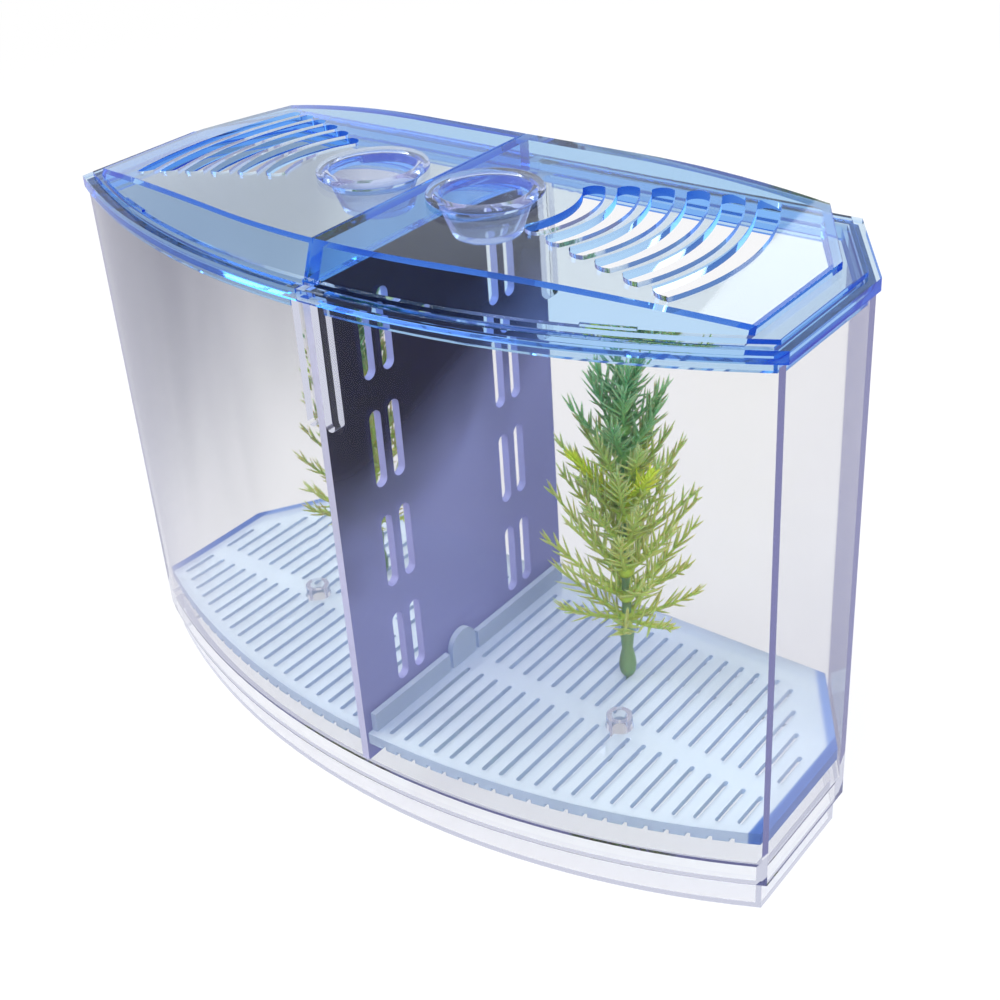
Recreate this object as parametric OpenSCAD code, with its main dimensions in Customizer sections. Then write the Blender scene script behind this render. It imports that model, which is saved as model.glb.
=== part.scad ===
// Twin fish breeding box: a clear tank with a bowed front and chamfered back corners,
// a slotted divider, two vented lids with feeding cups, and a slotted floor grid and a
// moulded plant in each compartment.
// X runs along the box, the bowed front faces -Y, and Z = 0 is the table it stands on.
// Everything on the left is the mirror image of what is on the right.

/* [Box plan] */
// Width over the lids
box_w = 190; // [160:1:240]
// Length of each straight end wall, front to back
end_len = 35.5; // [26:0.5:60]
// How far the front bows out past its corners
bow = 23.5; // [12:0.5:30]
// Width that each back chamfer takes from the back wall
chamfer_w = 16; // [8:0.5:30]
// Depth that each back chamfer takes from the end wall
chamfer_d = 25; // [14:0.5:40]

/* [Tank] */
// Height of the top edge of the walls above the table
wall_h = 132.5; // [115:0.5:180]
// Thickness of the walls
wall_t = 2; // [1.4:0.1:3]
// How far the lids overhang the walls
lid_over = 0.8; // [0.4:0.1:2]
// Height of the top of the floor above the table
floor_z = 13; // [11:0.5:22]
// Thickness of the floor
floor_t = 2; // [1.4:0.1:4]
// Height of the inset foot ring
foot_h = 8.4; // [4:0.2:9]
// How far the foot ring is set in from the walls
foot_in = 1.8; // [0.8:0.1:4]
// Length of the ribs that guide the divider
rib_len = 30; // [15:1:60]
// Width of each guide rib
rib_w = 2.6; // [1.6:0.1:4]
// How far the guide ribs stand in from the wall
rib_d = 3; // [2:0.1:5]

/* [Divider] */
// Thickness of the divider
div_t = 2; // [1.2:0.1:3]
// How far the divider's tongue rises above the walls
tongue_h = 2; // [1:0.1:4]
// Distance from the divider's front edge to its tongue
tongue_in = 2; // [1:0.1:4]
// Slots in each upright row
slot_rows = 4; // [2:1:5]
// Length of each divider slot
slot_len = 19; // [8:0.5:22]
// Width of each divider slot
slot_w = 3.6; // [2:0.1:4.5]
// Upright distance from one slot to the next
slot_pitch_z = 26.6; // [24:0.1:30]
// Distance between the two slots of a pair
pair_pitch = 6; // [5:0.1:8]
// Distance from the middle to each pair of slots
pair_y = 21.4; // [12:0.1:28]
// Height of the lowest slot's end above the floor
slot_z = 15; // [6:0.5:22]

/* [Lids] */
// Thickness of the lids
lid_t = 1.8; // [1.2:0.1:2.5]
// Thickness of the outer rim
rim_t = 2.7; // [2:0.1:4]
// Width of the low outer rim
rim_w = 2.4; // [1.5:0.1:3]
// Rise from the outer rim to the flange
step_h = 1; // [0.5:0.1:2]
// Height of the panel above the walls at the seam
panel_h = 11; // [8:0.5:18]
// Fall of the panel from the seam to its end
panel_drop = 5.7; // [2:0.1:6.5]
// Flat part of the panel, from the seam
panel_flat = 30; // [28:1:60]
// Width of the flange at the ends and the back
flange_w = 7; // [5:0.5:10]
// Width of the flange at the foot of the front slope
front_foot = 3.3; // [2.6:0.1:6]
// How far the front of the panel slopes back
front_slope = 3.3; // [0:0.1:6]
// Depth of the lip that drops inside the walls
lip_h = 3; // [1.5:0.1:6]
// Thickness of the lip
lip_t = 1.2; // [0.8:0.1:2]
// Angle from the seam to the thumb rib on the front flange
thumb_a = 17.2; // [8:0.1:20]
// Length of the thumb rib
thumb_len = 10.6; // [6:0.1:14]
// Width of the thumb rib
thumb_w = 0.8; // [0.5:0.1:1.2]
// Height of the thumb rib
thumb_h = 0.5; // [0.3:0.1:1]

/* [Vents] */
// Curved vents in each lid
vents = 6; // [3:1:6]
// Radius of the innermost vent, about the feeding cup
vent_r = 22.3; // [19:0.1:26]
// Distance from one vent to the next
vent_pitch = 7; // [6:0.1:7.2]
// Width of each vent
vent_w = 4.6; // [3:0.1:5]
// Angle at which the innermost vent starts, towards the front
vent_front_a = 26.5; // [10:0.5:30]
// Angle at which the innermost vent ends, towards the back
vent_back_a = 34.5; // [10:0.5:38]
// How much nearer the middle each further vent starts
vent_front_step = 1.4; // [0:0.05:2]
// How much nearer the middle each further vent ends
vent_back_step = 1.15; // [0:0.05:2]

/* [Feeding cups] */
// Distance of each cup from the seam
cup_x = 15.5; // [14.5:0.5:17]
// Radius of the lip of the cup
cup_lip_r = 12.5; // [10.5:0.1:13]
// Radius of the bowl where it passes the lid
cup_r = 10.8; // [8.5:0.1:11]
// Radius of the bottom of the bowl
cup_foot_r = 7.6; // [4:0.1:8]
// Depth of the bowl below the lid's panel
cup_depth = 9.5; // [6:0.5:14]
// Height of the lip on the panel
cup_lip_h = 1.4; // [0.8:0.1:2.5]
// Thickness of the bowl
cup_t = 1.2; // [0.8:0.1:1.8]

/* [Floor grids] */
// Height of the grid's top above the floor
grid_h = 8; // [6:0.5:14]
// Thickness of the grid's plate
grid_t = 1.5; // [1:0.1:2.5]
// Height of the skirt round the grid
skirt_h = 3; // [2:0.1:4.5]
// Thickness of the skirt and the upstand
skirt_t = 1.5; // [1:0.1:2]
// Width of each grid slot
gslot_w = 1.1; // [0.8:0.1:2.2]
// Distance from one grid slot to the next
gslot_pitch = 4.23; // [3.5:0.01:6]
// Distance from the seam to the first grid slot
gslot_first = 5.8; // [5:0.1:8]
// Plain margin between the slots and the front wall
front_margin = 2.6; // [2:0.1:4]
// Plain margin between the slots and the other walls
back_margin = 8.2; // [6:0.1:10]
// Width of the plain band between the two rows of slots
band_w = 5.2; // [3:0.1:9]
// Place of the middle of the plain band, front to back
band_y = -3.7; // [-6:0.1:6]
// Height of the upstand beside the divider
upstand_h = 5; // [2:0.1:7]
// Width of the finger tab beside the divider
tab_w = 9; // [7:0.5:12]
// Gap between the finger tab and the upstand on both sides
tab_gap = 1; // [0.6:0.1:2]
// Height of the finger tab above the plate
tab_h = 9.1; // [6:0.1:14]

/* [Centre posts] */
// Distance from the seam to each post
post_x = 48; // [44:0.5:52]
// Radius of the post's shoulder, which carries the grid
post_r = 4.5; // [3.6:0.1:6]
// Radius of the post's neck, which passes the grid
neck_r = 3; // [2.4:0.1:3.2]
// How far the neck stands above the grid
neck_h = 3; // [1:0.1:6]
// Radius of the bore in the post
bore_r = 1.8; // [0.8:0.1:2]

/* [Plants] */
// Grid slot that holds the plant's peg, counted from the divider
plant_slot = 8; // [7:1:9]
// Place of the plant, front to back
plant_y = 12.6; // [6:0.1:16]
// Height of the plant above the grid
plant_h = 85; // [70:1:92]
// Radius of the stem at its foot
stem_r = 1.1; // [0.8:0.1:1.5]
// Radius of the bulb that the plant stands on
bulb_r = 2.3; // [1.8:0.1:3]
// Height of the bulb
bulb_h = 13; // [10:0.5:15]
// Length of the longest frond
frond_len = 24; // [16:0.5:24]
// Needles along each side of a frond
needles = 5; // [3:1:7]
// Length of the longest needle
needle_len = 6.5; // [3:0.1:7]
// Angle between a needle and the frond's rib
needle_a = 42; // [30:1:60]
// Length of the peg below the plant
peg_h = 2; // [1:0.1:3]
// Thickness of a frond
frond_t = 0.9; // [0.6:0.1:1.4]
// Width of a frond's rib
frond_rib_w = 0.9; // [0.6:0.1:1.4]
// Height of the collar that carries a ring of fronds
collar_h = 3; // [2:0.2:5]
// Thickness of the collar
collar_t = 1; // [0.6:0.1:1.4]

/* [Clearances] */
// Gap between the two lids at the seam
seam_gap = 0.3; // [0.2:0.1:0.8]
// Gap between sliding or drop-in pieces
fit_gap = 0.3; // [0.2:0.05:0.5]
// Gap round the grids and the lids' lips
loose_gap = 0.7; // [0.4:0.1:1]

/* [Hidden] */

// Small overlap that keeps a cut or a joint clean
eps = 0.01;
// Facets of the largest arcs and of small round features
arc_fn = 240;
round_fn = 48;

box_d = bow + end_len + chamfer_d;
half_w = box_w / 2;
// Front bow: a circle through both front corners
bow_r = (half_w * half_w + bow * bow) / (2 * bow);
bow_cy = bow_r - box_d / 2;
end_back_y = bow + end_len - box_d / 2;
chamfer_a = atan2(chamfer_w, chamfer_d);

// Inner face of the walls, as an inset from the edge of the lids
inner = lid_over + wall_t;
front_in_y = -box_d / 2 + inner;
back_in_y = box_d / 2 - inner;

rim_z = wall_h + rim_t;
flange_z = rim_z + step_h;
panel_z = wall_h + panel_h;
// Cone of the front slope: its inset for a given height
slope_rate = front_slope / (panel_z - rim_z);
// The panel is flat near the seam, then falls away on an arc
arch_span = half_w - flange_w - panel_flat;
arch_r = (arch_span * arch_span + panel_drop * panel_drop) / (2 * panel_drop);

grid_z = floor_z + grid_h;
grid_in = inner + loose_gap;
grid_seam = div_t / 2 + fit_gap;
tongue_z = wall_h + tongue_h;
tongue_front = front_in_y + fit_gap + tongue_in;
tongue_back = box_d / 2 - flange_w - lid_t - 2 * fit_gap;

plant_x = gslot_first + plant_slot * gslot_pitch;
peg_r = gslot_w / 2 - fit_gap / 3;

// Rows of fronds up the stem, each as its height, the length of its fronds as a part of the
// longest, how steeply they rise, how far the row is turned, and the number of fronds
lower_rows = [[bulb_h + 4, 0.76, 22, 33, 5], [bulb_h + 15, 0.86, 44, 69, 5]];
middle_rows = [[bulb_h + 27, 0.92, 47, 12, 5], [bulb_h + 38, 0.84, 50, 50, 5]];
upper_rows = [[bulb_h + 49, 0.72, 50, 20, 5], [plant_h - 14, 0.5, 52, 55, 4]];
tuft_rows = [[bulb_h + 33, 0.4, 40, -62, 3]];
// Every other frond of a row rises more steeply by this angle
odd_rise = 9;
// Pear shape of the bulb, as parts of its radius and height
bulb_shape = [[0.5, 0], [0.9, 0.12], [1, 0.3], [0.85, 0.55]];
// Bare length at the foot of a frond, as a part of the distance between its needles
frond_bare = 1.3;
// Radius of the stem's tip, as a part of the radius at its foot
stem_taper = 0.6;

clear_c = [0.86, 0.88, 0.94, 0.35];
smoke_c = [0.16, 0.14, 0.36, 0.9];
blue_c = [0.35, 0.5, 0.9, 0.55];
cup_c = [0.45, 0.5, 0.95, 0.6];
ice_c = [0.66, 0.78, 0.94, 0.8];
leaf_c = [0.42, 0.58, 0.2];
deep_leaf_c = [0.16, 0.45, 0.2];
tuft_c = [0.55, 0.7, 0.12];

// Straight sides of the plan, set in by the same amount all round and open at the front
module straight_sides(inset) {
    end_x = half_w - inset;
    end_y = end_back_y - inset * tan(chamfer_a / 2);
    back_x = half_w - chamfer_w - inset * tan(45 - chamfer_a / 2);
    back_y = box_d / 2 - inset;
    polygon([
        [-end_x, -box_d], [end_x, -box_d], [end_x, end_y],
        [back_x, back_y], [-back_x, back_y], [-end_x, end_y]
    ]);
}

// Plan of the box, set in from the edge of the lids
module plan(inset) {
    intersection() {
        translate([0, bow_cy]) circle(r = bow_r - inset, $fn = arc_fn);
        straight_sides(inset);
    }
}

// Right half of the plan, from a distance to the right of the seam
module half_plan(inset, seam) {
    intersection() {
        plan(inset);
        translate([seam, -box_d]) square([box_w, 2 * box_d]);
    }
}

// Mirrors its children to the left
module left() {
    mirror([1, 0, 0]) children();
}

// Guide rib on the middle of the front or back wall, with a round lower end
module guide_rib(side, wall_y) {
    x = side * (div_t / 2 + fit_gap + rib_w / 2);
    y = wall_y < 0 ? wall_y - wall_t / 2 : wall_y - rib_d;
    low_z = wall_h - rib_len + rib_w / 2;
    translate([x - rib_w / 2, y, low_z]) cube([rib_w, rib_d + wall_t / 2, wall_h - low_z]);
    translate([x, y, low_z])
        rotate([-90, 0, 0]) cylinder(r = rib_w / 2, h = rib_d + wall_t / 2, $fn = round_fn);
}

// Post that stands on the floor, carries the grid on its shoulder and pokes through it
module centre_post(side) {
    translate([side * post_x, band_y, floor_z - floor_t / 2]) {
        cylinder(r = post_r, h = floor_t / 2 + grid_h - grid_t, $fn = round_fn);
        cylinder(r = neck_r, h = floor_t / 2 + grid_h + neck_h, $fn = round_fn);
    }
}

module tank() {
    color(clear_c) difference() {
        union() {
            difference() {
                union() {
                    translate([0, 0, foot_h]) linear_extrude(wall_h - foot_h) plan(lid_over);
                    linear_extrude(foot_h + eps) plan(lid_over + foot_in);
                }
                translate([0, 0, floor_z]) linear_extrude(wall_h) plan(inner);
                translate([0, 0, -1])
                    linear_extrude(floor_z - floor_t + 1) plan(inner + foot_in);
            }
            for (side = [-1, 1]) {
                guide_rib(side, front_in_y);
                guide_rib(side, back_in_y);
                centre_post(side);
            }
        }
        for (side = [-1, 1])
            translate([side * post_x, band_y, floor_z])
                cylinder(r = bore_r, h = grid_h + neck_h + 1, $fn = round_fn);
    }
}

// Upright slot with round ends, drawn in the plane of the divider
module round_slot(len, width) {
    translate([-width / 2, width / 2]) square([width, len - width]);
    translate([0, width / 2]) circle(d = width, $fn = round_fn);
    translate([0, len - width / 2]) circle(d = width, $fn = round_fn);
}

// The divider is a plate with a tongue that reaches up into the lids
module divider() {
    color(smoke_c)
        translate([-div_t / 2, 0, 0]) rotate([90, 0, 90]) linear_extrude(div_t)
            difference() {
                union() {
                    translate([front_in_y + fit_gap, floor_z])
                        square([back_in_y - front_in_y - 2 * fit_gap, wall_h - fit_gap - floor_z]);
                    translate([tongue_front, floor_z])
                        square([tongue_back - tongue_front, tongue_z - floor_z]);
                }
                for (row = [0 : slot_rows - 1], side = [-1, 1], pair = [-1, 1])
                    translate([
                        side * pair_y + pair * pair_pitch / 2,
                        floor_z + slot_z + row * slot_pitch_z
                    ]) round_slot(slot_len, slot_w);
            }
}

// Outline of the panel from the front, set in below its top face
module panel_profile(inset) {
    low_z = wall_h - 1;
    top_z = panel_z - inset;
    translate([-1, low_z]) square([panel_flat + 1 + eps, top_z - low_z]);
    intersection() {
        translate([panel_flat, panel_z - arch_r]) circle(r = arch_r - inset, $fn = 2 * arc_fn);
        translate([panel_flat, low_z]) square([half_w, panel_h + 1]);
    }
}

// Raised panel of a lid as a solid: sloped at the front, arched on top
module panel_form(inset) {
    low_z = wall_h - 1;
    tall = panel_z + 1 - low_z;
    low_in = front_foot - slope_rate * (rim_z - low_z);
    intersection() {
        translate([0, bow_cy, low_z])
            cylinder(
                r1 = bow_r - low_in - inset,
                r2 = bow_r - low_in - inset - slope_rate * tall,
                h = tall,
                $fn = arc_fn
            );
        translate([0, 0, low_z]) linear_extrude(tall) straight_sides(flange_w + inset);
        translate([0, box_d, 0]) rotate([90, 0, 0])
            linear_extrude(2 * box_d) panel_profile(inset);
    }
}

// Space to the right of an upright plane
module right_of(x) {
    translate([x, -box_d, 0]) cube([box_w, 2 * box_d, 2 * panel_z]);
}

// Curved vent about the feeding cup, with bowed ends
module vent(index) {
    r = vent_r + index * vent_pitch;
    // The vents keep to the panel, which narrows towards its end
    front_a = -vent_front_a + vent_front_step * index;
    back_a = vent_back_a - vent_back_step * index;
    // Discs give each end its bow: they lie a little inside the end and are wider than the vent
    end_in = 2;
    end_r = 0.6 * vent_w;
    far = 2 * r;
    translate([cup_x, 0, wall_h]) linear_extrude(2 * panel_h) intersection() {
        difference() {
            circle(r = r + vent_w / 2, $fn = arc_fn);
            circle(r = r - vent_w / 2, $fn = arc_fn);
        }
        union() {
            polygon([
                [0, 0], [far * cos(front_a), far * sin(front_a)],
                [far * cos(back_a), far * sin(back_a)]
            ]);
            for (a = [front_a + end_in, back_a - end_in])
                translate([r * cos(a), r * sin(a)]) circle(r = end_r, $fn = round_fn);
        }
    }
}

// Low rib on the front flange, where a thumb lifts the lid
module thumb_rib() {
    r = (bow_r - rim_w) - thumb_w * 3 / 4;
    turn = thumb_len / r * 180 / PI;
    translate([0, bow_cy, flange_z - eps])
        rotate([0, 0, -90 + thumb_a]) rotate_extrude(angle = turn, $fn = arc_fn)
            translate([r - thumb_w, 0]) square([thumb_w, thumb_h]);
}

// Lip that drops inside the walls and keeps clear of the guide ribs
module locating_lip() {
    lip_in = inner + loose_gap / 2;
    seam = div_t / 2 + fit_gap + rib_w + loose_gap;
    translate([0, 0, wall_h - lip_h]) linear_extrude(lip_h + eps) difference() {
        half_plan(lip_in, seam);
        half_plan(lip_in + lip_t, seam - 1);
    }
}

module lid_form() {
    difference() {
        union() {
            translate([0, 0, wall_h]) linear_extrude(rim_t) half_plan(0, seam_gap / 2);
            translate([0, 0, rim_z - eps])
                linear_extrude(step_h + eps) half_plan(rim_w, seam_gap / 2);
            intersection() {
                panel_form(0);
                right_of(seam_gap / 2);
                translate([-1, -box_d, wall_h]) cube([box_w, 2 * box_d, 2 * panel_h]);
            }
            thumb_rib();
        }
        intersection() {
            panel_form(lid_t);
            right_of(seam_gap / 2 + lid_t);
        }
        // The seam wall stops above the divider's tongue
        translate([-1, tongue_front - fit_gap, wall_h - 1])
            cube([1 + seam_gap / 2 + lid_t + eps,
                tongue_back - tongue_front + 2 * fit_gap, 1 + tongue_h + fit_gap]);
        for (index = [0 : vents - 1]) vent(index);
        translate([cup_x, 0, wall_h]) cylinder(r = cup_r + fit_gap, h = 2 * panel_h, $fn = arc_fn);
    }
    locating_lip();
}

module right_lid() {
    color(blue_c) lid_form();
}

module left_lid() {
    color(blue_c) left() lid_form();
}

// Tapered bowl that hangs in the lid by a rolled lip
module cup_form() {
    top_r = cup_lip_h / 2;
    translate([cup_x, 0, panel_z]) difference() {
        rotate_extrude($fn = arc_fn) {
            polygon([
                [0, -cup_depth], [cup_foot_r, -cup_depth], [cup_r, 0],
                [cup_r, cup_lip_h], [0, cup_lip_h]
            ]);
            translate([cup_r - 1, 0]) square([cup_lip_r - cup_r + 1 - top_r, cup_lip_h]);
            translate([cup_lip_r - top_r, top_r]) circle(r = top_r, $fn = round_fn);
        }
        rotate_extrude($fn = arc_fn) polygon([
            [0, -cup_depth + cup_t], [cup_foot_r - cup_t, -cup_depth + cup_t],
            [cup_r - cup_t, 0], [cup_r - cup_t, cup_lip_h + 1], [0, cup_lip_h + 1]
        ]);
    }
}

module right_feeding_cup() {
    color(cup_c) cup_form();
}

module left_feeding_cup() {
    color(cup_c) left() cup_form();
}

// Height in Y of the bowed front and of the chamfered back at a place along the box
function front_y(x, inset) = bow_cy - sqrt(pow(bow_r - inset, 2) - x * x);
function back_y(x, inset) = min(
    box_d / 2 - inset,
    end_back_y + (half_w - x) * chamfer_d / chamfer_w - inset / sin(chamfer_a)
);

grid_slots = floor((half_w - grid_in - front_margin - gslot_first) / gslot_pitch) + 1;

// Slots of a grid: one row in front of the plain band and one behind it
module grid_slots() {
    for (index = [0 : grid_slots - 1]) {
        x = gslot_first + index * gslot_pitch;
        low_front = front_y(x, grid_in + front_margin);
        high_front = band_y - band_w / 2;
        low_back = band_y + band_w / 2;
        high_back = back_y(x, grid_in + back_margin);
        if (high_front - low_front > 2 * gslot_w)
            translate([x, low_front]) round_slot(high_front - low_front, gslot_w);
        if (high_back - low_back > 2 * gslot_w)
            translate([x, low_back]) round_slot(high_back - low_back, gslot_w);
    }
}

// Upstand beside the divider, parted by a finger tab with a round top
module grid_upstand() {
    low = grid_t / 2;
    front = front_y(grid_seam, grid_in) + skirt_t;
    back = box_d / 2 - grid_in - skirt_t;
    tab_y = band_y - tab_gap / 2;
    shoulder = low + tab_h - tab_w / 2;
    translate([grid_seam, 0, grid_z - low]) rotate([90, 0, 90]) linear_extrude(skirt_t) {
        translate([front, 0]) square([tab_y - tab_w / 2 - tab_gap - front, low + upstand_h]);
        translate([tab_y + tab_w / 2 + tab_gap, 0])
            square([back - tab_y - tab_w / 2 - tab_gap, low + upstand_h]);
        translate([tab_y - tab_w / 2, 0]) square([tab_w, shoulder]);
        translate([tab_y, shoulder]) circle(d = tab_w, $fn = round_fn);
    }
}

// Slotted floor grid with a skirt, notched below each front slot
module grid_form() {
    difference() {
        union() {
            translate([0, 0, grid_z - grid_t]) linear_extrude(grid_t) difference() {
                half_plan(grid_in, grid_seam);
                grid_slots();
            }
            translate([0, 0, grid_z - skirt_h]) linear_extrude(skirt_h - grid_t / 2) difference() {
                half_plan(grid_in, grid_seam);
                half_plan(grid_in + skirt_t, grid_seam + skirt_t);
            }
        }
        translate([post_x, band_y, 0])
            cylinder(r = neck_r + fit_gap, h = 2 * grid_z, $fn = round_fn);
        for (index = [0 : grid_slots - 1])
            translate([gslot_first + index * gslot_pitch - gslot_w / 2, -box_d, 0])
                cube([gslot_w, box_d + band_y, grid_z - skirt_h + 1]);
    }
    grid_upstand();
}

module right_floor_grid() {
    color(ice_c) grid_form();
}

module left_floor_grid() {
    color(ice_c) left() grid_form();
}

// Stem with a pear-shaped bulb, and a peg that enters a grid slot
module stem_form() {
    translate([plant_x, plant_y, grid_z]) {
        rotate_extrude($fn = round_fn) polygon(concat(
            [[0, 0]],
            [for (place = bulb_shape) [bulb_r * place[0], bulb_h * place[1]]],
            [[stem_r, bulb_h], [stem_r * stem_taper, plant_h], [0, plant_h]]
        ));
        translate([0, 0, -peg_h]) cylinder(r = peg_r, h = peg_h + eps, $fn = round_fn);
    }
}

// Half of a frond's outline: needles that lean towards its tip, longest in the middle
function needle_side(len, side) = [
    for (index = [0 : needles - 1], corner = [0 : 2])
        let (
            at = len * (index + frond_bare) / (needles + frond_bare),
            reach = needle_len * (1 + sin(180 * (index + 0.7) / needles)) / 2,
            half = len / needles / 4,
            out = frond_rib_w / 2
        )
        corner == 0 ? [at - half, side * out]
        : corner == 1 ? [at + reach * cos(needle_a), side * reach * sin(needle_a)]
        : [at + half, side * out]
];

function reversed(points) = [for (index = [len(points) - 1 : -1 : 0]) points[index]];

// Frond: a flat rib with needles along both sides, pointing along +X
module frond(length) {
    foot = frond_rib_w * 2 / 3;
    tip = length + 2 * frond_t;
    linear_extrude(frond_t, center = true) polygon(concat(
        [[0, -foot]],
        needle_side(length, -1),
        [[tip, 0]],
        reversed(needle_side(length, 1)),
        [[0, foot]]
    ));
}

// Row of fronds on a collar that is pushed on the stem
module whorl(height, length, rise, turn, count) {
    translate([plant_x, plant_y, grid_z + height]) difference() {
        union() {
            cylinder(r = stem_r + collar_t, h = collar_h, center = true, $fn = round_fn);
            for (index = [0 : count - 1])
                rotate([0, 0, turn + index * 360 / count])
                    rotate([0, -rise - (index % 2) * odd_rise, 0])
                        translate([stem_r + collar_t / 5, 0, 0]) frond(length);
        }
        cylinder(r = stem_r, h = 2 * plant_h, center = true, $fn = round_fn);
    }
}

module whorls(rows) {
    for (row = rows) whorl(row[0], row[1] * frond_len, row[2], row[3], row[4]);
}

module right_plant_stem() {
    color(deep_leaf_c) stem_form();
}

module right_plant_lower_fronds() {
    color(leaf_c) whorls(lower_rows);
}

module right_plant_middle_fronds() {
    color(leaf_c) whorls(middle_rows);
}

module right_plant_upper_fronds() {
    color(deep_leaf_c) whorls(upper_rows);
}

module right_plant_tuft() {
    color(tuft_c) whorls(tuft_rows);
}

module left_plant_stem() {
    color(deep_leaf_c) left() stem_form();
}

module left_plant_lower_fronds() {
    color(leaf_c) left() whorls(lower_rows);
}

module left_plant_middle_fronds() {
    color(leaf_c) left() whorls(middle_rows);
}

module left_plant_upper_fronds() {
    color(deep_leaf_c) left() whorls(upper_rows);
}

module left_plant_tuft() {
    color(tuft_c) left() whorls(tuft_rows);
}

tank();
divider();
right_lid();
left_lid();
right_feeding_cup();
left_feeding_cup();
right_floor_grid();
left_floor_grid();
right_plant_stem();
right_plant_lower_fronds();
right_plant_middle_fronds();
right_plant_upper_fronds();
right_plant_tuft();
left_plant_stem();
left_plant_lower_fronds();
left_plant_middle_fronds();
left_plant_upper_fronds();
left_plant_tuft();
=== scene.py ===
"""Studio scene of a twin fish breeding box: its clear tank, smoked divider, blue lids,
feeding cups, floor grids and moulded plants, on a plain pale floor."""

from __future__ import annotations

import logging
import math
from collections.abc import Mapping
from dataclasses import dataclass
from enum import Enum

import bmesh
import bpy
import numpy as np
from mathutils import Euler, Matrix, Vector


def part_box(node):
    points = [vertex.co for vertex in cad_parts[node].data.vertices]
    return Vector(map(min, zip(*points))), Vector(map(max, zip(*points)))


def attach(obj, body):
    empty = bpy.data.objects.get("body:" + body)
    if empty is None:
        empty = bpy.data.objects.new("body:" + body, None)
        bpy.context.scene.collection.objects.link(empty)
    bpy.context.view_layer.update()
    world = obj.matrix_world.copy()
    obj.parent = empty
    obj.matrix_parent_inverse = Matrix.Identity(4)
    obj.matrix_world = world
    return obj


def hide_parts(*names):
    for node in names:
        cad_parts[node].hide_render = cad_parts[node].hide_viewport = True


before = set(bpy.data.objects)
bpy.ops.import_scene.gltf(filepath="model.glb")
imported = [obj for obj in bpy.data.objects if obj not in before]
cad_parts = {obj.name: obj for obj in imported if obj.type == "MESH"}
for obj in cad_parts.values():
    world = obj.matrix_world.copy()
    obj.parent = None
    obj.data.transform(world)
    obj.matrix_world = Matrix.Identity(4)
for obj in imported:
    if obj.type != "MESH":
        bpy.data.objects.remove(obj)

LOG = logging.getLogger("breeding_box")
MM = 0.001
WELD = 1e-6
TINY = 1e-9
WHITE = (1.0, 1.0, 1.0, 1.0)
BLACK = (0.0, 0.0, 0.0, 1.0)
UP = np.array([0.0, 0.0, 1.0])
NUMBER = 0.0
UPWARD = (0.0, 0.0, 1.0)
Colour = tuple[float, float, float]
Points = np.ndarray
Arrays = tuple[Points, Points, Points]
Socket = bpy.types.NodeSocket
Sockets = Mapping[str, Socket]


class Side(Enum):
    """Which half of the box a piece belongs to; the value mirrors X."""

    RIGHT = 1
    LEFT = -1

    @property
    def word(self) -> str:
        """Name of the side as the nodes spell it."""
        return self.name.lower()


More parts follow.
